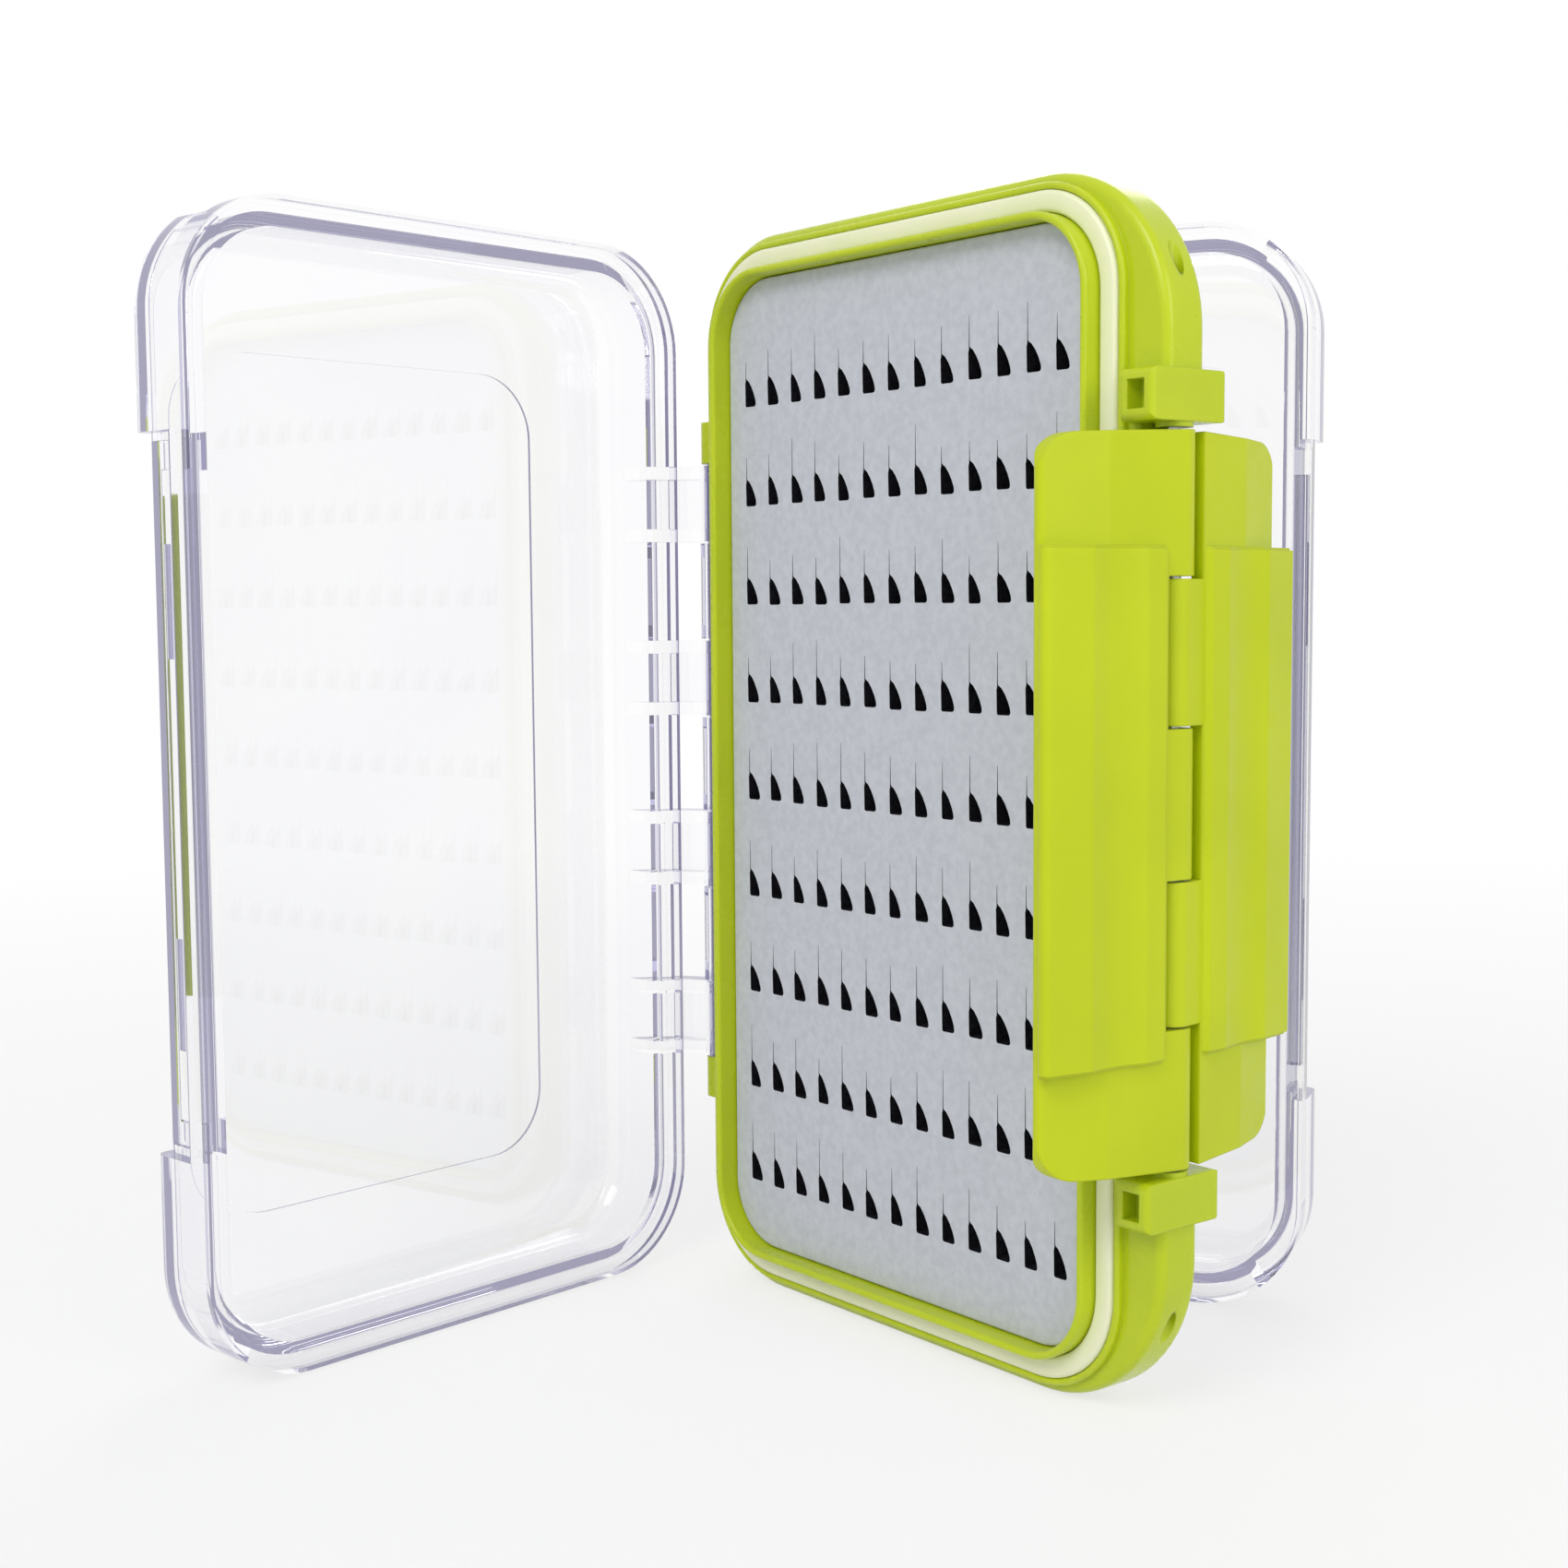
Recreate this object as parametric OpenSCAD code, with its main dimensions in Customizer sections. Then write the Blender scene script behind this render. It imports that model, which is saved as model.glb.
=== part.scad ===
// Double-sided fly box standing on its short edge, both clear lids open.
// +X runs from the hinge side to the latch side, +Y from the front side to the back side, +Z up.
// The origin is on the surface the box stands on, under the middle of the frame.

/* [Case] */
// Height of the frame, from the surface it stands on
case_h = 150; // [130:1:180]
// Width of the frame's straight-sided outline
case_w = 83.3; // [76:0.1:100]
// Radius of the frame's corners on the hinge side
corner_r = 14.9; // [12:0.1:20]
// Thickness of the band that both lids close on
band_t = 6.6; // [5.6:0.1:9]
// Reach of the band's flared corners beyond the outline, on the latch side
flare_reach = 4.75; // [4.2:0.05:6]
// Radius of the flared corners
flare_r = 20; // [17:0.5:24]
// Rounding of the band's outer edges
band_round = 1.2; // [0.6:0.1:1.2]

/* [Pocket and seal] */
// Thickness of the wall round each pocket
pocket_wall = 1.0; // [0.8:0.1:1.4]
// Height of that wall above the mid-plane
pocket_top = 6.9; // [6:0.1:8]
// Thickness of the web between the two pockets
web_t = 2.2; // [1.6:0.1:3]
// Thickness of the foam sheets
foam_t = 2.9; // [2:0.1:3.4]
// Width of the gasket groove
groove_w = 2.8; // [2.4:0.1:3.2]
// Height of the groove's floor above the mid-plane
groove_floor = 2.7; // [2:0.1:3]
// Thickness of the gasket
gasket_t = 2.0; // [1.4:0.1:2.2]
// Thickness of the rim outside the groove
rim_wall = 0.9; // [0.7:0.1:1.2]
// Height of the rim above the mid-plane
rim_top = 4.4; // [4.1:0.1:5]
// Width of the ledge outside the rim
ledge_w = 1.2; // [1:0.1:1.6]

/* [Foam slots] */
// Slots in each row
slot_cols = 13; // [9:1:13]
// Rows of slots
slot_rows = 9; // [6:1:9]
// Spacing of the slots along a row
slot_pitch = 5.1; // [4.6:0.1:5.3]
// Spacing of the rows
row_pitch = 13.9; // [12:0.1:14]
// Width of a slot at its foot
slot_w = 2.5; // [1.8:0.1:3]
// Height of a slot
slot_h = 3.7; // [3:0.1:5]
// Length of the slit above a slot
slit_l = 4.6; // [3:0.1:6]
// Width of the slit
slit_w = 0.16; // [0.12:0.02:0.4]
// Depth of the slots
slot_depth = 2.4; // [1.5:0.1:2.6]

/* [Lids] */
// Height of a lid's outer face above the mid-plane
lid_top = 17; // [15:0.5:22]
// Wall thickness of the lids
lid_wall = 1.9; // [1.5:0.1:2.4]
// Thickness of the lids' faces
lid_face = 2.0; // [1.5:0.1:2.4]
// Radius where the wall turns into the face
lid_round = 4; // [3:0.1:5]
// Height of the lip round a lid's mouth
lip_h = 3.6; // [3:0.1:5]
// Gap between a closed lid and the frame
lid_gap = 0.3; // [0.25:0.05:0.4]
// Height of the corner bumpers above the mid-plane
bumper_top = 15.2; // [12:0.1:15.4]
// Gap between the bumpers' ends and the line of the latch ears
bumper_gap = 1.0; // [0:0.1:2]
// Angle that the bumpers run round the corners
bumper_turn = 55; // [30:1:80]
// Depth that the wall is set back between the bumpers
recess = 0.7; // [0.4:0.1:0.9]
// Half length of the catch bar
bar_half = 40.6; // [38:0.1:42]
// Height of the catch bar's foot above the mid-plane
bar_foot = 8.0; // [7.6:0.1:8.4]
// Height of the catch bar
bar_h = 3.0; // [2:0.1:3]
// Reach of the catch bar out of the recessed wall
bar_reach = 1.7; // [1.4:0.1:1.9]
// Width of the sunk panel on the face
panel_w = 57; // [30:1:60]
// Height of the sunk panel on the face
panel_h = 113; // [70:1:120]
// Corner radius of the sunk panel
panel_r = 9; // [5:1:14]
// Offset of the sunk panel towards the latch side
panel_shift = 5; // [0:0.5:6]
// Depth of the sunk panel
panel_sink = 0.4; // [0.2:0.05:0.6]
// Opening of the front lid as it stands
front_open = 81.2; // [60:0.1:95]
// Opening of the back lid as it stands
back_open = 28.2; // [15:0.1:95]

/* [Hinge] */
// Radius of the hinge pin
hinge_pin_r = 0.8; // [0.6:0.05:1]
// Distance of the hinge pin from the frame's outline
hinge_out = 3.55; // [3.3:0.05:4.2]
// Radius of the hinge knuckles
hinge_knuckle_r = 1.9; // [1.7:0.05:2.1]
// Length of each front arm along the pin
arm_l = 11.1; // [9:0.1:12]
// Distance from the middle of the pin to the front lid's inner arms
arm_start = 7.2; // [6:0.1:9]
// Thickness of the ribs at the ends of the arms
arm_rib = 1.9; // [1.4:0.1:2.4]
// Thickness of the arms' plates
arm_plate = 1.6; // [1.2:0.1:2]
// Height that the ribs climb up the lid's wall, above the mid-plane
arm_climb = 12.5; // [10:0.1:13]
// Opening that each lid can reach while the other is as far open
full_open = 105; // [100:1:112]
// Length of the frame's hinge ears along the pin
hinge_ear_l = 6; // [4:0.5:8]

/* [Latches] */
// Half height of the opening between the latch ears
latch_bay = 44.3; // [42:0.1:46]
// Gap at the ends of latches, arms and knuckles
end_gap = 0.3; // [0.25:0.05:0.5]
// Radius of the latch pin
latch_pin_r = 0.9; // [0.7:0.05:1]
// Distance of the latch pin from the frame's outline
latch_out = 2.85; // [2.8:0.05:3.4]
// Radius of the latch knuckles
knuckle_r = 2.4; // [2.1:0.05:2.5]
// Half length of the middle knuckle
knuckle_inner = 9; // [7:0.5:12]
// Half length of the middle three knuckles
knuckle_outer = 26.4; // [22:0.1:30]
// Thickness of the latch plates
latch_t = 1.9; // [1.6:0.1:2.1]
// Distance from the pin to a latch's bend
latch_bend = 11.8; // [11:0.1:13]
// Distance from the pin to a latch's tip
latch_len = 19.7; // [19:0.1:23]
// Lean of a latch from the pin to the bend
latch_lean = 7; // [5:0.5:8]
// Lean of a latch past the bend
tip_lean = 10.5; // [8:0.5:14]
// Half length of the thumb pad
pad_half = 30; // [24:0.1:34]
// Height of the thumb pad above the latch plate
pad_rise = 0.8; // [0.5:0.1:1.3]
// Reach of the pad's lip, outwards and past the tip
pad_lip = 2.2; // [1:0.1:2.4]
// Distance from the pin where the latches part outside their knuckles
parting = 3.0; // [2.8:0.1:5]
// Height of the thumb's dip on the pad, from the pin
dip_at = 12.6; // [11:0.1:14]
// Radius of that dip
dip_r = 16; // [12:1:24]
// Corner radius of the latch plates
latch_corner = 4.5; // [3:0.1:6]
// Taper of each end of a latch, from the pin to the tip
latch_taper = 0.7; // [0.2:0.1:1.2]
// Gap between the ends of the latches and the ears
latch_gap = 0.9; // [0.5:0.1:1.5]
// Length of the frame's latch ears along the pin
ear_l = 6; // [4:0.5:8]
// Rounding of the ears' ends
ear_soft = 1.0; // [0.5:0.1:1.4]
// Height of the ears above the mid-plane
ear_top = 6.4; // [5.6:0.1:7]
// Radial play of the pins in the parts that turn on them
pin_play = 0.05; // [0.02:0.01:0.1]
// Radial play of the pins in the frame
pin_seat = 0.02; // [0.01:0.01:0.05]

/* [Hidden] */
$fn = 96;
LIME = [0.72, 0.80, 0.15];
FOAM = [0.68, 0.69, 0.70];
SEAL = [0.93, 0.96, 0.80];
CLEAR = [0.85, 0.88, 0.95, 0.35];
STEEL = [0.75, 0.76, 0.78];
bite = 0.4;                                    // how far joined solids run into each other

margin = pocket_wall + groove_w + rim_wall + ledge_w;
pocket_w = case_w - 2 * margin;
pocket_h = case_h - 2 * margin;
pocket_r = corner_r - margin;
rim_out = pocket_wall + groove_w + rim_wall;   // outer face of the rim, from the pocket's wall
groove_out = pocket_wall + groove_w;
ledge = band_t / 2;
edge_x = case_w / 2;                           // outline on the latch side
flare_x = edge_x + flare_reach;
hinge_x = -edge_x - hinge_out;
latch_x = edge_x + latch_out;
latch_end = latch_bay - latch_gap;
arm_end = latch_bay - end_gap;
pin_inset = 0.5;                                // the pins end this far inside the ears' outer faces
foam_gap = 0.1;
gasket_gap = 0.05;

lid_out = margin - lid_gap;                    // outline of the lids, from the pocket's wall
lid_foot = ledge + lid_gap;
mouth = rim_top + lid_gap;
wall_out = groove_out - 0.1;                   // outer face of the lids' walls
wall_in = wall_out - lid_wall;
bead_foot = groove_floor + gasket_t + 0.2;     // foot of the walls, just above the gasket
lip_top = lid_foot + lip_h;
bay_wall_x = pocket_w / 2 + wall_out - recess; // the wall between the bumpers
bar_x = bay_wall_x + bar_reach;
bar_top = bar_foot + bar_h;
hook_foot = bar_top + 0.9;                      // a closed latch's hook passes over the catch bar
hook_t = 2;
hook_reach = 1.6;
pad_step = 0.3;                                // the pad's ends are set down and back by this

// ---- plan helpers: x and y are the outline, z is the height above the mid-plane ----

module front_side() translate([0, 0, case_h / 2]) rotate([90, 0, 0]) children();

module back_side() mirror([0, 1, 0]) front_side() children();

module round_rect(w, h, r) {
    square([w - 2 * r, h], center = true);
    square([w, h - 2 * r], center = true);
    for (x = [-1, 1], y = [-1, 1])
        translate([x * (w / 2 - r), y * (h / 2 - r)]) circle(r);
}

module pocket_outline(grow) {
    round_rect(pocket_w + 2 * grow, pocket_h + 2 * grow, pocket_r + grow);
}

// One straight side of a moulding whose section is the child, from y = -half to y = half.
module side_run(x, half) translate([x, half, 0]) rotate([90, 0, 0]) linear_extrude(2 * half) children();

// A moulding round the pocket whose section is the child: x outwards, y above the mid-plane.
module run_round_pocket() {
    half_x = pocket_w / 2 - pocket_r;
    half_y = pocket_h / 2 - pocket_r;
    for (turn = [0, 180]) rotate([0, 0, turn]) {
        side_run(pocket_w / 2, half_y) children();
        translate([half_x, half_y, 0]) rotate_extrude(angle = 90) translate([pocket_r, 0]) children();
        rotate([0, 0, 90]) side_run(pocket_h / 2, half_x) children();
        translate([-half_x, half_y, 0]) rotate([0, 0, 90])
            rotate_extrude(angle = 90) translate([pocket_r, 0]) children();
    }
}

// ---- frame ----

// A wall with a rounded top on each side of the mid-plane.
module wall_section(inner, outer, top) {
    t = outer - inner;
    translate([inner, -top + t / 2]) square([t, 2 * top - t]);
    for (side = [-1, 1]) translate([inner + t / 2, side * (top - t / 2)]) circle(t / 2);
}

module frame_section() {
    wall_section(0, pocket_wall, pocket_top);
    translate([0, -groove_floor]) square([rim_out, 2 * groove_floor]);
    wall_section(groove_out, rim_out, rim_top);
}

// The band's section, with its outer face at x = 0 and both outer edges rounded.
module band_section(w) {
    translate([-w, -ledge]) square([w - band_round, band_t]);
    translate([-w, -ledge + band_round]) square([w, band_t - 2 * band_round]);
    for (side = [-1, 1]) translate([-band_round, side * (ledge - band_round)]) circle(band_round);
}

// The band: plain corners on the hinge side, flared ones on the latch side, and open beside the lid's arms.
module band() {
    top = case_h / 2;
    corner_x = edge_x - corner_r;
    corner_y = top - corner_r;
    flare_cx = flare_x - flare_r;
    flare_cy = top - flare_r;
    plain_w = ledge_w + rim_wall / 2;
    flare_w = flare_x - pocket_w / 2 - rim_out + rim_wall / 2;
    for (end = [0, 1]) mirror([0, end, 0]) {
        translate([-corner_x, corner_y, 0]) rotate([0, 0, 90])
            rotate_extrude(angle = 90) translate([corner_r, 0]) band_section(plain_w);
        mirror([1, 0, 0]) translate([edge_x, corner_y, 0]) rotate([90, 0, 0])
            linear_extrude(corner_y - latch_bay) band_section(plain_w);
        translate([-corner_x, top, 0]) rotate([90, 0, 90])
            linear_extrude(corner_x + flare_cx) band_section(plain_w);
        difference() {
            union() {
                translate([flare_cx, flare_cy, 0]) rotate_extrude(angle = 90)
                    translate([flare_r, 0]) band_section(flare_w);
                translate([flare_x, flare_cy, 0]) rotate([90, 0, 0])
                    linear_extrude(flare_cy - latch_bay) band_section(flare_w);
            }
            linear_extrude(band_t + 1, center = true) pocket_outline(rim_out - rim_wall / 2);
        }
    }
    side_run(edge_x, latch_bay + bite) band_section(plain_w);
}

// A block for the latch pin, with a blind window in its front and in its back.
module latch_ear() {
    block_w = latch_x + knuckle_r - edge_x;
    soft = 0.7;
    window_w = 2.6;
    window_l = 3.4;
    window_deep = 2.5;
    difference() {
        intersection() {
            translate([edge_x + block_w / 2, latch_bay + ear_l, 0]) rotate([90, 0, 0])
                linear_extrude(ear_l) round_rect(block_w, 2 * ear_top, soft);
            translate([edge_x, latch_bay + ear_l / 2, 0]) rotate([90, 0, 90])
                linear_extrude(block_w) round_rect(ear_l, 2 * ear_top, ear_soft);
        }
        for (side = [0, 1]) mirror([0, 0, side])
            translate([edge_x + (block_w - window_w) / 2, latch_bay + (ear_l - window_l) / 2,
                       ear_top - window_deep])
                cube([window_w, window_l, window_deep + 1]);
    }
    // a boss round the pin, up to the latches' ends
    translate([latch_x, latch_bay + bite, 0]) rotate([90, 0, 0])
        cylinder(r = knuckle_r - 0.2, h = latch_gap - end_gap + bite);
}

// A block for the hinge pin, rounded about it.
module hinge_ear() {
    translate([hinge_x, latch_bay + hinge_ear_l, 0]) rotate([90, 0, 0])
        cylinder(r = ledge / 2, h = hinge_ear_l);
    translate([hinge_x, latch_bay, -ledge / 2])
        cube([hinge_out + ledge_w + bite, hinge_ear_l, ledge]);
}

module frame() color(LIME) translate([0, 0, case_h / 2]) rotate([90, 0, 0]) {
    run_round_pocket() frame_section();
    linear_extrude(web_t, center = true) pocket_outline(bite);
    difference() {
        union() {
            band();
            for (end = [0, 1]) mirror([0, end, 0]) {
                latch_ear();
                hinge_ear();
            }
        }
        translate([latch_x, case_h, 0]) rotate([90, 0, 0])
            cylinder(r = latch_pin_r + pin_seat, h = 2 * case_h);
        translate([hinge_x, case_h, 0]) rotate([90, 0, 0])
            cylinder(r = hinge_pin_r + pin_seat, h = 2 * case_h);
    }
}

// ---- foam and gaskets ----

// A slot with an upright left edge, a bowed right edge and a slit above it.
module slot_outline() {
    bow = 0.22;
    polygon(concat(
        [[0, 0], [slot_w, 0]],
        [for (k = [1:3]) let (u = k / 4)
            [slot_w * (1 - u) + 0.4 * u + bow * sin(180 * u) * slot_w, slot_h * u]],
        [[0.4, slot_h], [slit_w + 0.1, slot_h], [slit_w + 0.1, slot_h + slit_l], [0.1, slot_h + slit_l],
         [0.1, slot_h], [0, slot_h - 0.2]]));
}

module foam() color(FOAM) difference() {
    translate([0, 0, web_t / 2]) linear_extrude(foam_t) pocket_outline(-foam_gap);
    translate([0, 0, web_t / 2 + foam_t - slot_depth]) linear_extrude(slot_depth + 1)
        for (col = [0:slot_cols - 1], row = [0:slot_rows - 1])
            translate([(col - (slot_cols - 1) / 2) * slot_pitch - slot_w / 2,
                       (row - (slot_rows - 1) / 2) * row_pitch - (slot_h + slit_l) / 2])
                slot_outline();
}

module front_foam() front_side() foam();
module back_foam() back_side() foam();

module gasket() color(SEAL) translate([0, 0, groove_floor]) linear_extrude(gasket_t) difference() {
    pocket_outline(groove_out - gasket_gap);
    pocket_outline(pocket_wall + gasket_gap);
}

module front_gasket() front_side() gasket();
module back_gasket() back_side() gasket();

// ---- lids ----

module lid_section() {
    round_x = wall_out - lid_round;
    round_y = lid_top - lid_round;
    inner_r = lid_round - lid_wall;
    // wall, lip and the skirt of the lip
    translate([wall_in, bead_foot]) square([lid_wall, round_y - bead_foot]);
    translate([wall_out - bite, mouth]) square([lid_out - wall_out + bite, lip_top - mouth]);
    translate([rim_out + lid_gap, lid_foot]) square([lid_out - rim_out - lid_gap, lip_top - lid_foot - 0.3]);
    // the turn into the face
    intersection() {
        translate([round_x, round_y]) difference() {
            circle(lid_round);
            circle(inner_r);
        }
        translate([round_x - bite, round_y]) square(2 * lid_round);
    }
    translate([round_x - bite, lid_top - lid_face]) square([2 * bite, lid_face]);
}

// A corner bumper: it thickens the wall out to the lip's outline and fades out round the corner.
module bumper() {
    module section() {
        soft = 1.6;
        w = lid_out - wall_out + bite;
        translate([wall_out - bite, mouth]) square([w - soft, bumper_top - mouth]);
        translate([wall_out - bite, mouth]) square([w, bumper_top - mouth - soft]);
        translate([lid_out - soft, bumper_top - soft]) circle(soft);
    }
    half = pocket_h / 2 - pocket_r;
    translate([pocket_w / 2 - pocket_r, half, 0]) rotate_extrude(angle = bumper_turn)
        translate([pocket_r, 0]) section();
    translate([pocket_w / 2, half, 0]) rotate([90, 0, 0])
        linear_extrude(half - latch_bay - bumper_gap) section();
}

// The bar that a closed latch hooks over. Its face is hollowed between two distances from the middle.
module catch_bar() {
    soft = 0.7;
    hollow = [17.4, 31.5];
    translate([bay_wall_x - bite, -bar_half, bar_foot]) cube([bar_reach + bite - soft, 2 * bar_half, bar_h]);
    for (run = [[-bar_half, -hollow[1]], [-hollow[0], hollow[0]], [hollow[1], bar_half]])
        translate([bay_wall_x - bite, run[0], bar_foot + soft])
            cube([bar_reach + bite, run[1] - run[0], bar_h - 2 * soft]);
    for (z = [soft, bar_h - soft])
        translate([bar_x - soft, bar_half, bar_foot + z]) rotate([90, 0, 0])
            cylinder(r = soft, h = 2 * bar_half);
}

// The arms' shoulders slope. With both lids fully open, one arm has turned by 2 * full_open against the
// other lid, and the slope then lies beside that lid's lip.
both_open = 2 * full_open;
slope_out = hinge_x + pocket_w / 2 + lid_out + 1.5 * lid_gap;
function shoulder_x(h) = hinge_x + (h * sin(both_open) - slope_out) / cos(both_open);
function shoulder_h(x) = ((x - hinge_x) * cos(both_open) + slope_out) / sin(both_open);

// One hinge arm from y0 to y0 + l, closed, with a rib at each end.
module hinge_arm(y0, l) {
    lip_x = -pocket_w / 2 - lid_out;
    back_x = hinge_x - hinge_knuckle_r;
    shoulder = [back_x, shoulder_h(back_x)];
    plate_top = [shoulder_x(lip_top), lip_top];
    rib_h = lip_top + 1;
    module plate() {
        translate([hinge_x, -0.01]) circle(hinge_knuckle_r);
        polygon([[back_x, 0], shoulder, plate_top, [lip_x + bite, lip_top], [lip_x + bite, lip_top - 1],
                 plate_top + [0.6, -1], shoulder + [arm_plate, -0.6], [back_x + arm_plate, 0]]);
    }
    module rib() {
        polygon([[back_x, 0], shoulder, [shoulder_x(rib_h), rib_h],
                 [-pocket_w / 2 - wall_out + bite, arm_climb], [-pocket_w / 2 - wall_out + bite, mouth + 0.6],
                 [lip_x - 0.3, mouth + 0.6], [hinge_x + 1, 1.2]]);
    }
    difference() {
        translate([0, y0 + l, 0]) rotate([90, 0, 0]) union() {
            linear_extrude(l) plate();
            linear_extrude(arm_rib) rib();
            translate([0, 0, l - arm_rib]) linear_extrude(arm_rib) rib();
        }
        translate([hinge_x, y0 + l + 1, 0]) rotate([90, 0, 0])
            cylinder(r = hinge_pin_r + pin_play, h = l + 2);
    }
}

module lid_shell() color(CLEAR) {
    difference() {
        union() {
            run_round_pocket() lid_section();
            translate([0, 0, lid_top - lid_face]) linear_extrude(lid_face)
                pocket_outline(wall_out - lid_round);
        }
        translate([bay_wall_x, -latch_bay, lip_top]) cube([lid_out, 2 * latch_bay, lid_top]);
        translate([panel_shift, 0, lid_top - panel_sink]) linear_extrude(1)
            round_rect(panel_w, panel_h, panel_r);
    }
    catch_bar();
    for (end = [0, 1]) mirror([0, end, 0]) bumper();
}

module front_lid_closed() front_side() color(CLEAR) {
    lid_shell();
    for (end = [0, 1], y = [arm_start, arm_end - arm_l]) mirror([0, end, 0]) hinge_arm(y, arm_l);
}

module back_lid_closed() back_side() color(CLEAR) {
    lid_shell();
    gap_l = arm_end - 2 * arm_l - arm_start;
    hinge_arm(-arm_start + end_gap, 2 * (arm_start - end_gap));
    for (end = [0, 1]) mirror([0, end, 0])
        hinge_arm(arm_start + arm_l + end_gap, gap_l - 2 * end_gap);
}

module about_hinge(angle) translate([hinge_x, 0, 0]) rotate([0, 0, angle])
    translate([-hinge_x, 0, 0]) children();

module front_lid() about_hinge(-front_open) front_lid_closed();
module back_lid() about_hinge(back_open) back_lid_closed();

// ---- latches: x is outwards from the pin's axis, y is away from the mid-plane ----

function lean(from, angle, run) = [from[0] - run * sin(angle), from[1] + run * cos(angle)];
plate_foot = [knuckle_r, 0];
plate_bend = lean(plate_foot, latch_lean, latch_bend);
plate_tip = lean(plate_bend, latch_lean + tip_lean, latch_len - latch_bend);
function inward(p) = [p[0] - latch_t, p[1] - 0.15 * latch_t];

// The plate from the given distance up to its tip, with the hook on its inner face.
module latch_section(foot) {
    tip = plate_tip;
    polygon([lean(plate_foot, latch_lean, foot), plate_bend, tip,
             inward(tip), inward(plate_bend), [inward(plate_foot)[0] - foot * sin(latch_lean), foot]]);
    translate([tip[0] - latch_t / 2, tip[1] - 0.15]) circle(latch_t / 2);
    translate([plate_bend[0] - latch_t - hook_reach, hook_foot]) square([hook_reach + bite, hook_t]);
}

// A knuckle and the root that joins it to the plate.
module knuckle_section() {
    circle(knuckle_r);
    polygon([[knuckle_r - 0.01, 0], lean(plate_foot, latch_lean, parting + bite),
             [inward(plate_foot)[0] - parting * sin(latch_lean), parting + bite], [0, 0]]);
}

// The thumb pad: it rises from the plate, dips where the thumb rests and flares out to a lip.
module pad_section(height, reach) {
    rise = [height, 0];
    lip = plate_tip + [reach, reach];
    start = lean(plate_foot, latch_lean, parting + 1);
    dip = lean(plate_foot, latch_lean, dip_at) + rise;
    difference() {
        union() {
            polygon([lean(plate_foot, latch_lean, parting) - [0.5, 0], start + rise, plate_bend + 2 * rise,
                     lip - [0, 1], lip - [1, 0.1], plate_tip + [-1, 0.4], plate_bend - [1, 0]]);
            translate(lip - [1, 1]) circle(1);
        }
        translate(dip + [dip_r, 0]) circle(dip_r);
    }
}

// A latch whose knuckles are the given runs along the pin. It stands 12 degrees short of closed.
module latch(knuckles) color(LIME) {
    difference() {
        intersection() {
            union() {
                linear_extrude(2 * latch_end, center = true) latch_section(parting);
                linear_extrude(2 * pad_half, center = true)
                    pad_section(pad_rise - pad_step, pad_lip - pad_step);
                linear_extrude(2 * (pad_half - pad_step), center = true) pad_section(pad_rise, pad_lip);
                for (run = knuckles)
                    translate([0, 0, run[0]]) linear_extrude(run[1] - run[0]) knuckle_section();
            }
            // the plate's corners are rounded at the tip
            end = plate_tip[1] + 0.8;
            top = plate_tip[1] + pad_lip + 0.5;
            low = -knuckle_r - 1;
            tip_half = latch_end - latch_taper;
            rotate([0, 90, 0]) linear_extrude(2 * latch_len, center = true) union() {
                polygon([[-latch_end, low], [latch_end, low], [latch_end, 0], [tip_half, end - latch_corner],
                         [-tip_half, end - latch_corner], [-latch_end, 0]]);
                translate([-tip_half + latch_corner, 0]) square([2 * (tip_half - latch_corner), top]);
                for (s = [-1, 1])
                    translate([s * (tip_half - latch_corner), end - latch_corner]) circle(latch_corner);
            }
        }
        cylinder(r = latch_pin_r + pin_play, h = case_h, center = true);
    }
}

// The front latch points towards -Y.
module front_latch() translate([latch_x, 0, case_h / 2]) mirror([0, 1, 0])
    latch([[-latch_end, -knuckle_outer - end_gap / 2],
           [-knuckle_inner + end_gap / 2, knuckle_inner - end_gap / 2],
           [knuckle_outer + end_gap / 2, latch_end]]);

module back_latch() translate([latch_x, 0, case_h / 2])
    latch([[-knuckle_outer + end_gap / 2, -knuckle_inner - end_gap / 2],
           [knuckle_inner + end_gap / 2, knuckle_outer - end_gap / 2]]);

// ---- pins ----

module latch_pin() color(STEEL) translate([latch_x, 0, case_h / 2])
    cylinder(r = latch_pin_r, h = 2 * (latch_bay + ear_l - pin_inset), center = true);

module hinge_pin() color(STEEL) translate([hinge_x, 0, case_h / 2])
    cylinder(r = hinge_pin_r, h = 2 * (latch_bay + hinge_ear_l - pin_inset), center = true);

frame();
front_foam();
back_foam();
front_gasket();
back_gasket();
front_lid();
back_lid();
front_latch();
back_latch();
latch_pin();
hinge_pin();
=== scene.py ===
import math
import random

import bmesh
import bpy
from mathutils import Matrix, Vector


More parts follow.
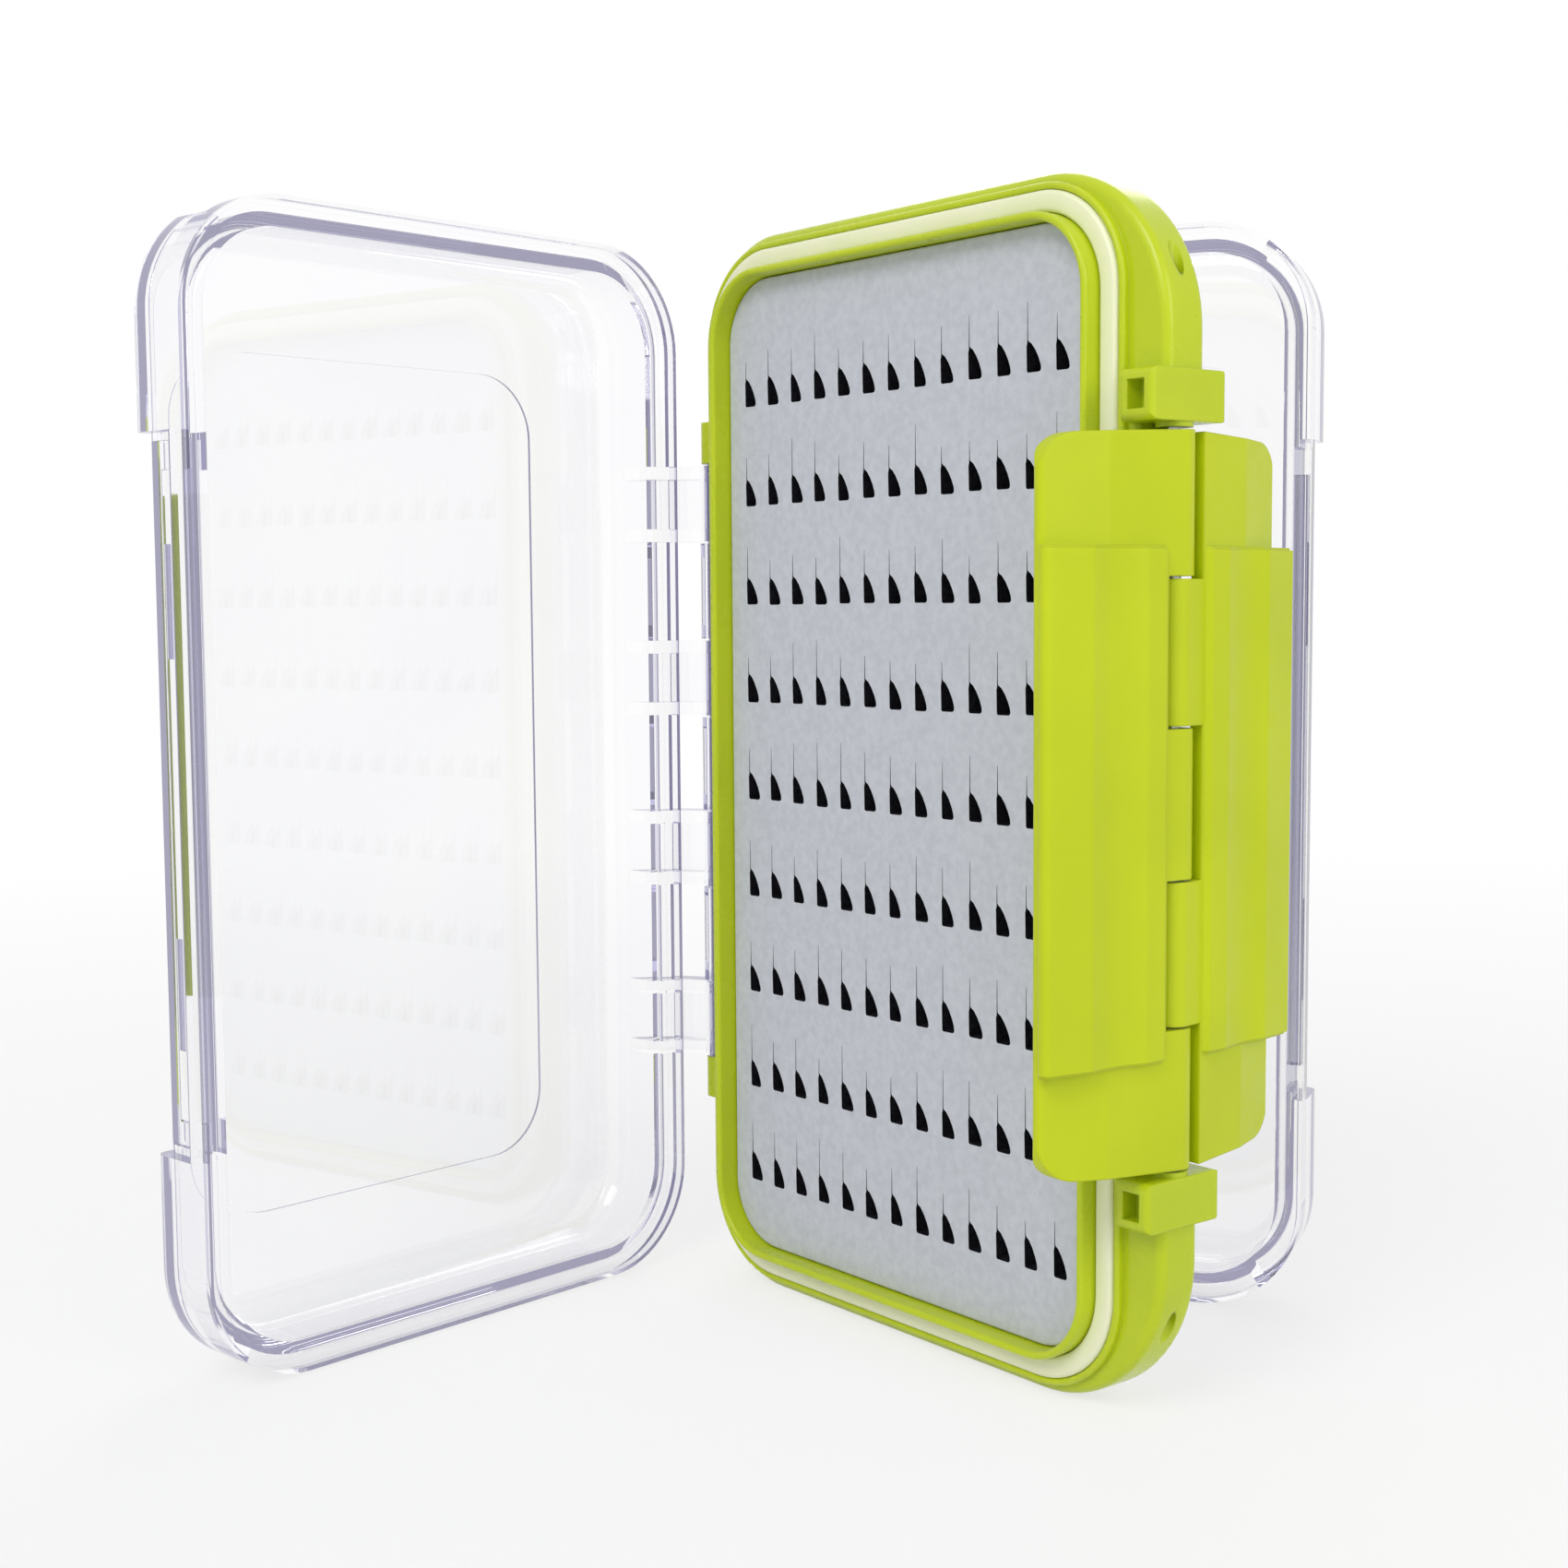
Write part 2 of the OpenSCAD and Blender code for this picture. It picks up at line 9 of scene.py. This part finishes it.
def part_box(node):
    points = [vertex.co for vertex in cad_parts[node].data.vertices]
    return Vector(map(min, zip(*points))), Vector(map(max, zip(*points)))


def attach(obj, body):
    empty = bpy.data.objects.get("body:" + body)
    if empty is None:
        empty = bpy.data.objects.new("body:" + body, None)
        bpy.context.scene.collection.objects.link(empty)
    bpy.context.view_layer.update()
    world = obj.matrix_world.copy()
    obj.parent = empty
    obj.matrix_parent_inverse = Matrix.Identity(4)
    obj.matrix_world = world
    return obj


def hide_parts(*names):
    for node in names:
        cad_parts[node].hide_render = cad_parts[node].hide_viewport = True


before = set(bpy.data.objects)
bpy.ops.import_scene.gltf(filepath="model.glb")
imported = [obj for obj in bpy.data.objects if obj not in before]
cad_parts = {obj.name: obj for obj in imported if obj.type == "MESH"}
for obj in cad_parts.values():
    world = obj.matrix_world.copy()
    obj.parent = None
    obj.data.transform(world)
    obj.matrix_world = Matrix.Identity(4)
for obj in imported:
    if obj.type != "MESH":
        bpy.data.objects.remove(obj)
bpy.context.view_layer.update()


# ---- Camera: a long lens near the box's own height, off the corner where the latches and the
# open front lid both show.
eye = Vector((0.21708, -0.19495, 0.09880))
rightwards = Vector((0.6218, 0.7832, -0.0072))
upwards = Vector((-0.0601, 0.0569, 0.9966))
backwards = Vector((0.7809, -0.6192, 0.0824))
camera = bpy.data.objects.new("camera", bpy.data.cameras.new("camera"))
camera.matrix_world = Matrix((
    (rightwards.x, upwards.x, backwards.x, eye.x),
    (rightwards.y, upwards.y, backwards.y, eye.y),
    (rightwards.z, upwards.z, backwards.z, eye.z),
    (0, 0, 0, 1)))
camera.data.sensor_width = 36
camera.data.lens = 50.3
camera.data.clip_start = 0.005
camera.data.clip_end = 30
bpy.context.scene.collection.objects.link(camera)
bpy.context.scene.camera = camera


# ---- Studio: a white tent of even light, with three soft lamps that model the round edges. The box
# and the eye see tent and floor as white. Clear plastic looks dark only where light has turned many
# times inside it, so both darken to violet for such rays.
scene = bpy.context.scene
scene.view_settings.view_transform = "Standard"

MIRROR_TURN = 1.5                   # a mirroring counts as this many turns, a pass through a face as one
DARKENING = (4.5, 8)                # turns at which the darkening starts and ends
HALFWAY = 0.4                       # where between the two the dim violet lies
WHITE = (1, 1, 1, 1)
DIM_VIOLET = (0.42, 0.40, 0.62, 1)
DEEP_VIOLET = (0.10, 0.09, 0.19, 1)


# Plain light for the box's own surfaces, and white for rays that come from the eye or through or off
# the box. The share, where given, fades that white out near the box, so that its shadow shows.
def white_where_seen(tree, plain, white, share=None):
    nodes, links = tree.nodes, tree.links
    path = nodes.new("ShaderNodeLightPath")
    turns = nodes.new("ShaderNodeMath")
    turns.operation = "MULTIPLY_ADD"
    turns.inputs[1].default_value = MIRROR_TURN
    links.new(path.outputs["Glossy Depth"], turns.inputs[0])
    links.new(path.outputs["Transmission Depth"], turns.inputs[2])
    deep = nodes.new("ShaderNodeMapRange")
    deep.inputs["From Min"].default_value, deep.inputs["From Max"].default_value = DARKENING
    links.new(turns.outputs[0], deep.inputs["Value"])
    tint = nodes.new("ShaderNodeValToRGB")
    tint.color_ramp.elements[0].color = WHITE
    tint.color_ramp.elements[1].color = DEEP_VIOLET
    tint.color_ramp.elements.new(HALFWAY).color = DIM_VIOLET
    links.new(deep.outputs["Result"], tint.inputs["Fac"])
    links.new(tint.outputs["Color"], white.inputs["Color"])

    amount = path.outputs["Is Camera Ray"]
    for ray in ("Is Transmission Ray", "Is Glossy Ray"):
        larger = nodes.new("ShaderNodeMath")
        larger.operation = "MAXIMUM"
        links.new(amount, larger.inputs[0])
        links.new(path.outputs[ray], larger.inputs[1])
        amount = larger.outputs[0]
    if share:
        part = nodes.new("ShaderNodeMath")
        part.operation = "MULTIPLY"
        links.new(amount, part.inputs[0])
        links.new(share, part.inputs[1])
        amount = part.outputs[0]
    mix = nodes.new("ShaderNodeMixShader")
    links.new(amount, mix.inputs["Fac"])
    links.new(plain.outputs[0], mix.inputs[1])
    links.new(white.outputs[0], mix.inputs[2])
    return mix.outputs[0]


world = bpy.data.worlds.new("tent")
scene.world = world
world.use_nodes = True
tent = world.node_tree
tent.nodes.clear()
glow = tent.nodes.new("ShaderNodeBackground")
glow.inputs["Color"].default_value = (0.97, 0.98, 1.0, 1)
glow.inputs["Strength"].default_value = 0.52
backdrop = tent.nodes.new("ShaderNodeBackground")
tent.links.new(white_where_seen(tent, glow, backdrop),
               tent.nodes.new("ShaderNodeOutputWorld").inputs["Surface"])

BOX_MIDDLE = Vector((0, 0, 0.08))


def soft_lamp(name, place, size, power):
    lamp = bpy.data.objects.new(name, bpy.data.lights.new(name, "AREA"))
    lamp.data.shape = "DISK"
    lamp.data.size = size
    lamp.data.energy = power
    lamp.location = place
    lamp.rotation_euler = (BOX_MIDDLE - Vector(place)).to_track_quat("-Z", "Y").to_euler()
    scene.collection.objects.link(lamp)


soft_lamp("key_lamp", place=(0.30, -0.75, 0.80), size=0.55, power=4.2)
soft_lamp("side_lamp", place=(0.85, 0.05, 0.45), size=0.5, power=1.9)
soft_lamp("back_lamp", place=(-0.60, 0.70, 0.75), size=0.6, power=2.4)

floor_mesh = bmesh.new()
bmesh.ops.create_grid(floor_mesh, x_segments=1, y_segments=1, size=6)
floor = bpy.data.objects.new("floor", bpy.data.meshes.new("floor"))
floor_mesh.to_mesh(floor.data)
floor_mesh.free()
scene.collection.objects.link(floor)
paper = bpy.data.materials.new("white_paper")
paper.use_nodes = True
sheet = paper.node_tree
sheet.nodes.clear()
sheet_place = sheet.nodes.new("ShaderNodeTexCoord").outputs["Object"]
fibre = sheet.nodes.new("ShaderNodeTexNoise")
fibre.inputs["Scale"].default_value = 60
sheet.links.new(sheet_place, fibre.inputs["Vector"])
tone = sheet.nodes.new("ShaderNodeMix")
tone.data_type = "RGBA"
tone.inputs["A"].default_value = (0.86, 0.86, 0.86, 1)
tone.inputs["B"].default_value = (0.88, 0.88, 0.88, 1)
sheet.links.new(fibre.outputs["Fac"], tone.inputs["Factor"])
matt = sheet.nodes.new("ShaderNodeBsdfDiffuse")
sheet.links.new(tone.outputs["Result"], matt.inputs["Color"])
reach = sheet.nodes.new("ShaderNodeVectorMath")
reach.operation = "LENGTH"
sheet.links.new(sheet_place, reach.inputs[0])
fade = sheet.nodes.new("ShaderNodeMapRange")
fade.inputs["From Min"].default_value = 0.12
fade.inputs["From Max"].default_value = 0.6
fade.inputs["To Min"].default_value = 0.7
fade.inputs["To Max"].default_value = 1.0
sheet.links.new(reach.outputs["Value"], fade.inputs["Value"])
seen = white_where_seen(sheet, matt, sheet.nodes.new("ShaderNodeEmission"), fade.outputs["Result"])
sheet.links.new(seen, sheet.nodes.new("ShaderNodeOutputMaterial").inputs["Surface"])
floor.data.materials.append(paper)


# ---- Frame: one lime polypropylene moulding, glossy from a polished mould. Its colour drifts
# a little over the moulding, and fine handling marks break up the gloss.
NOISE_SPAN = (0.35, 0.65)           # nearly all that a noise texture gives lies between these


def plastic(name, roughness):
    material = bpy.data.materials.new(name)
    material.use_nodes = True
    shader = material.node_tree.nodes["Principled BSDF"]
    shader.inputs["Roughness"].default_value = roughness
    return material, shader


def patches(tree, size, detail):
    place = tree.nodes.new("ShaderNodeTexCoord")
    texture = tree.nodes.new("ShaderNodeTexNoise")
    texture.inputs["Scale"].default_value = 1 / size
    texture.inputs["Detail"].default_value = detail
    tree.links.new(place.outputs["Object"], texture.inputs["Vector"])
    return texture.outputs["Fac"]


def between(tree, amount, low, high, span=NOISE_SPAN):
    mapped = tree.nodes.new("ShaderNodeMapRange")
    mapped.inputs["From Min"].default_value, mapped.inputs["From Max"].default_value = span
    mapped.inputs["To Min"].default_value = low
    mapped.inputs["To Max"].default_value = high
    tree.links.new(amount, mapped.inputs["Value"])
    return mapped.outputs["Result"]


def mottle(material, shader, low, high, size, detail=2.0):
    tree = material.node_tree
    ramp = tree.nodes.new("ShaderNodeValToRGB")
    for stop, position, colour in zip(ramp.color_ramp.elements, NOISE_SPAN, (low, high)):
        stop.position = position
        stop.color = (*colour, 1)
    tree.links.new(patches(tree, size, detail), ramp.inputs["Fac"])
    tree.links.new(ramp.outputs["Color"], shader.inputs["Base Color"])


def scuff(material, shader, low, high, size, detail=2.0):
    tree = material.node_tree
    tree.links.new(between(tree, patches(tree, size, detail), low, high), shader.inputs["Roughness"])


def grain(material, shader, depth, strength, size, detail=2.0, soft_edge=0.0):
    tree = material.node_tree
    bump = tree.nodes.new("ShaderNodeBump")
    bump.inputs["Strength"].default_value = strength
    bump.inputs["Distance"].default_value = depth
    tree.links.new(patches(tree, size, detail), bump.inputs["Height"])
    if soft_edge:
        edge = tree.nodes.new("ShaderNodeBevel")
        edge.samples = 6
        edge.inputs["Radius"].default_value = soft_edge
        tree.links.new(edge.outputs["Normal"], bump.inputs["Normal"])
    tree.links.new(bump.outputs["Normal"], shader.inputs["Normal"])


def light_seeps_in(shader, share, depth, colour):
    shader.inputs["Subsurface Weight"].default_value = share
    shader.inputs["Subsurface Radius"].default_value = colour
    shader.inputs["Subsurface Scale"].default_value = depth


def dress(node, material):
    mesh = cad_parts[node].data
    mesh.materials.clear()
    mesh.materials.append(material)


LIME_SEEP = (1.0, 1.0, 0.1)         # red and green light runs deeper into lime plastic than blue
lime, shader = plastic("lime_polypropylene", roughness=0.3)
mottle(lime, shader, (0.515, 0.625, 0.008), (0.56, 0.665, 0.010), size=0.018)
scuff(lime, shader, 0.24, 0.31, size=0.009, detail=3)
grain(lime, shader, depth=0.000003, strength=0.3, size=0.0006, soft_edge=0.0003)
shader.inputs["Specular IOR Level"].default_value = 0.4
light_seeps_in(shader, share=0.12, depth=0.0015, colour=LIME_SEEP)
dress("frame", lime)


# ---- Foam sheets: grey cross-linked foam glued into both pockets, with rows of die-cut slots.
# Each slot is a fin-shaped hole whose slit runs on upwards; its cut walls are painted near black, painted
# shade for the slot's dark hollow.
foam, shader = plastic("grey_foam", roughness=0.85)
mottle(foam, shader, (0.555, 0.575, 0.625), (0.615, 0.635, 0.685), size=0.0011, detail=5)
grain(foam, shader, depth=0.00006, strength=0.6, size=0.0005, detail=3)
shader.inputs["Specular IOR Level"].default_value = 0.25

# Painted shade: a near-black colour for the slots' cut walls, standing in for the shadow inside the hollows.
slot_shade_foam, shader = plastic("slot_shade_foam", roughness=0.9)
mottle(slot_shade_foam, shader, (0.006, 0.006, 0.009), (0.016, 0.016, 0.022), size=0.0006, detail=4)
shader.inputs["Specular IOR Level"].default_value = 0.1

FOAM_CORNER = 0.0089
FOAM_EDGE = 0.0004
SLOT_ROWS, ROW_SLOTS = 9, 13
ROW_STEP, SLOT_STEP = 13.9, 5.1                    # in millimetres, as are the next four
SHEET_MIDDLE = 75
SLOT_LEFT, SLOT_FOOT = -1.25, -4.15                # from a slot's place in the grid to its lower left
SLIT_TOP = 8.2
FIN = [(0.05, 0.2), (0.13, 0.02), (0.35, -0.05), (2.1, -0.05), (2.38, 0.06), (2.5, 0.3), (2.42, 0.85),
       (2.05, 1.75), (1.5, 2.7), (0.85, 3.5), (0.42, 3.75), (0.26, 3.95), (0.21, SLIT_TOP), (0.14, SLIT_TOP),
       (0.1, 3.6), (-0.02, 3.2)]
KNIFE_START = 0.001                                # in metres, outside the sheet
KNIFE_RUN = 0.0034                                 # so the slots are 2.4 mm deep


def new_piece(name, shape, *materials):
    piece = bpy.data.objects.new(name, bpy.data.meshes.new(name))
    shape.to_mesh(piece.data)
    shape.free()
    for material in materials:
        piece.data.materials.append(material)
    scene.collection.objects.link(piece)
    return piece


def lies_at(edge, y):
    return all(abs(v.co.y - y) < 1e-6 for v in edge.verts)


# Push all of a flat shape's faces along Y, which makes it a solid.
def push(shape, distance):
    pushed = bmesh.ops.extrude_face_region(shape, geom=shape.faces[:])
    bmesh.ops.translate(shape, vec=(0, distance, 0),
                        verts=[g for g in pushed["geom"] if isinstance(g, bmesh.types.BMVert)])
    bmesh.ops.recalc_face_normals(shape, faces=shape.faces)


# All the slots as one solid to cut with. No two are quite alike.
def slot_knife(surface, inwards):
    knife = bmesh.new()
    hand = random.Random(5)
    for row in range(SLOT_ROWS):
        for column in range(ROW_SLOTS):
            x = (column - (ROW_SLOTS - 1) / 2) * SLOT_STEP + SLOT_LEFT + hand.uniform(-0.08, 0.08)
            z = (SHEET_MIDDLE + (row - (SLOT_ROWS - 1) / 2) * ROW_STEP + SLOT_FOOT
                 + hand.uniform(-0.1, 0.1))
            wide = hand.uniform(0.9, 1.04)
            tall = hand.uniform(0.95, 1.05)
            slit = hand.uniform(0.72, 1.1)
            fin = [knife.verts.new(((x + u * wide) / 1000, surface - inwards * KNIFE_START,
                                    (z + v * (slit if v == SLIT_TOP else tall)) / 1000))
                   for u, v in FIN]
            knife.faces.new(fin)
    push(knife, inwards * KNIFE_RUN)
    # The knife's faces carry the second material, so the slot walls it leaves get the near-black painted
    # shade.
    for face in knife.faces:
        face.material_index = 1
    return knife


def foam_sheet(name, cad_node, front):
    low, high = (Vector(corner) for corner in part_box(cad_node))
    surface = low.y if front else high.y
    inwards = 1 if front else -1
    shape = bmesh.new()
    bmesh.ops.create_cube(shape, size=1, matrix=Matrix.Translation((low + high) / 2)
                          @ Matrix.Diagonal((*(high - low), 1)))
    through = abs(high.y - low.y) / 2
    corners = [e for e in shape.edges if abs(e.verts[0].co.y - e.verts[1].co.y) > through]
    bmesh.ops.bevel(shape, geom=corners, offset=FOAM_CORNER, segments=16, profile=0.5,
                    affect="EDGES", material=-1)
    rim = [e for e in shape.edges if lies_at(e, surface)]
    bmesh.ops.bevel(shape, geom=rim, offset=FOAM_EDGE, segments=3, profile=0.5,
                    affect="EDGES", material=-1)
    sheet_piece = new_piece(name, shape, foam, slot_shade_foam)

    cutter = new_piece(name + "_knife", slot_knife(surface, inwards), foam, slot_shade_foam)
    cut = sheet_piece.modifiers.new("slots", "BOOLEAN")
    cut.object = cutter
    cut.operation = "DIFFERENCE"
    cut.solver = "EXACT"
    shown = sheet_piece.evaluated_get(bpy.context.evaluated_depsgraph_get())
    solid = bpy.data.meshes.new_from_object(shown)
    sheet_piece.modifiers.clear()
    sheet_piece.data = solid
    solid.name = name
    bpy.data.objects.remove(cutter)
    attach(sheet_piece, "case")
    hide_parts(cad_node)


foam_sheet("front_foam_sheet", "front_foam", True)
foam_sheet("back_foam_sheet", "back_foam", False)


# ---- Gaskets: soft pale silicone rings pressed into the groove on each side of the frame. Their
# tops have rounded edges, so a closed lid's wall settles on them evenly.
silicone, shader = plastic("pale_silicone", roughness=0.42)
mottle(silicone, shader, (0.90, 0.92, 0.62), (0.94, 0.95, 0.68), size=0.012)
grain(silicone, shader, depth=0.00001, strength=0.5, size=0.0008)
light_seeps_in(shader, share=0.3, depth=0.001, colour=(1.0, 1.0, 0.6))

RING_CORNER = 0.01275
RING_WIDTH = 0.0027
RING_EDGE = 0.0006


def gasket_ring(name, cad_node, front):
    low, high = (Vector(corner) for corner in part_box(cad_node))
    seat = high.y if front else low.y
    surface = low.y if front else high.y
    shape = bmesh.new()
    bmesh.ops.create_grid(shape, x_segments=1, y_segments=1, size=0.5,
                          matrix=Matrix.Translation(((low.x + high.x) / 2, seat, (low.z + high.z) / 2))
                          @ Matrix.Diagonal((high.x - low.x, 1, high.z - low.z, 1))
                          @ Matrix.Rotation(math.pi / 2, 4, "X"))
    bmesh.ops.bevel(shape, geom=shape.verts[:], offset=RING_CORNER, segments=20, profile=0.5,
                    affect="VERTICES", material=-1)
    inset = bmesh.ops.inset_region(shape, faces=shape.faces[:], thickness=RING_WIDTH,
                                   use_even_offset=True, use_boundary=True)
    middle = [f for f in shape.faces if f not in inset["faces"]]
    bmesh.ops.delete(shape, geom=middle, context="FACES")
    push(shape, surface - seat)
    top_edges = [e for e in shape.edges
                 if lies_at(e, surface) and any(abs(f.normal.y) < 0.5 for f in e.link_faces)]
    bmesh.ops.bevel(shape, geom=top_edges, offset=RING_EDGE, segments=4, profile=0.5,
                    affect="EDGES", material=-1)
    for face in shape.faces:
        face.smooth = True
    ring = new_piece(name, shape, silicone)
    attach(ring, "case")
    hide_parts(cad_node)


gasket_ring("front_gasket_ring", "front_gasket", True)
gasket_ring("back_gasket_ring", "back_gasket", False)


# ---- Lids: clear injection-moulded polycarbonate, polished in the mould. Faces seen straight on
# vanish; the walls, lips and arms gather a faint violet where light runs along them. After more than
# three mirrorings inside, the plastic glows a faint violet, a painted glow, so that such rays don't end as
# black.
clear, shader = plastic("clear_polycarbonate", roughness=0.0)
shader.inputs["Transmission Weight"].default_value = 1.0
shader.inputs["IOR"].default_value = 1.53
mottle(clear, shader, (0.975, 0.975, 0.99), (0.99, 0.99, 0.995), size=0.03)
scuff(clear, shader, 0.0, 0.03, size=0.006, detail=4)
GLOW_MIRRORINGS = (3.4, 3.6)                 # mirrorings after which the plastic gives off its painted violet glow
# Painted glow: the violet that the plastic gives off once a ray has mirrored inside it more than three
# times.
shader.inputs["Emission Color"].default_value = (0.40, 0.385, 0.53, 1)
path = clear.node_tree.nodes.new("ShaderNodeLightPath")
clear.node_tree.links.new(between(clear.node_tree, path.outputs["Glossy Depth"], 0.0, 0.42, GLOW_MIRRORINGS),
                          shader.inputs["Emission Strength"])
for lid in ("front_lid", "back_lid"):
    dress(lid, clear)


# ---- Latches: two lime polypropylene plates on one pin. Their knuckles interleave, and a raised
# thumb pad lies over each plate. They are a little more satin than the frame.
satin, shader = plastic("satin_lime_polypropylene", roughness=0.38)
mottle(satin, shader, (0.540, 0.630, 0.006), (0.580, 0.670, 0.007), size=0.022)
scuff(satin, shader, 0.34, 0.44, size=0.003, detail=4)
grain(satin, shader, depth=0.000003, strength=0.4, size=0.0008, soft_edge=0.0004)
shader.inputs["Specular IOR Level"].default_value = 0.32
light_seeps_in(shader, share=0.15, depth=0.0015, colour=LIME_SEEP)
for latch in ("front_latch", "back_latch"):
    dress(latch, satin)


# ---- Pins: two drawn stainless wires pushed in lengthwise through the frame's ears, one through the
# latches' knuckles and one through the lids' arms. At most their ends show, in the ears' bores.
steel, shader = plastic("drawn_steel", roughness=0.3)
shader.inputs["Metallic"].default_value = 1.0
mottle(steel, shader, (0.52, 0.53, 0.55), (0.62, 0.63, 0.65), size=0.0008)
scuff(steel, shader, 0.22, 0.4, size=0.0005)
for pin in ("latch_pin", "hinge_pin"):
    dress(pin, steel)
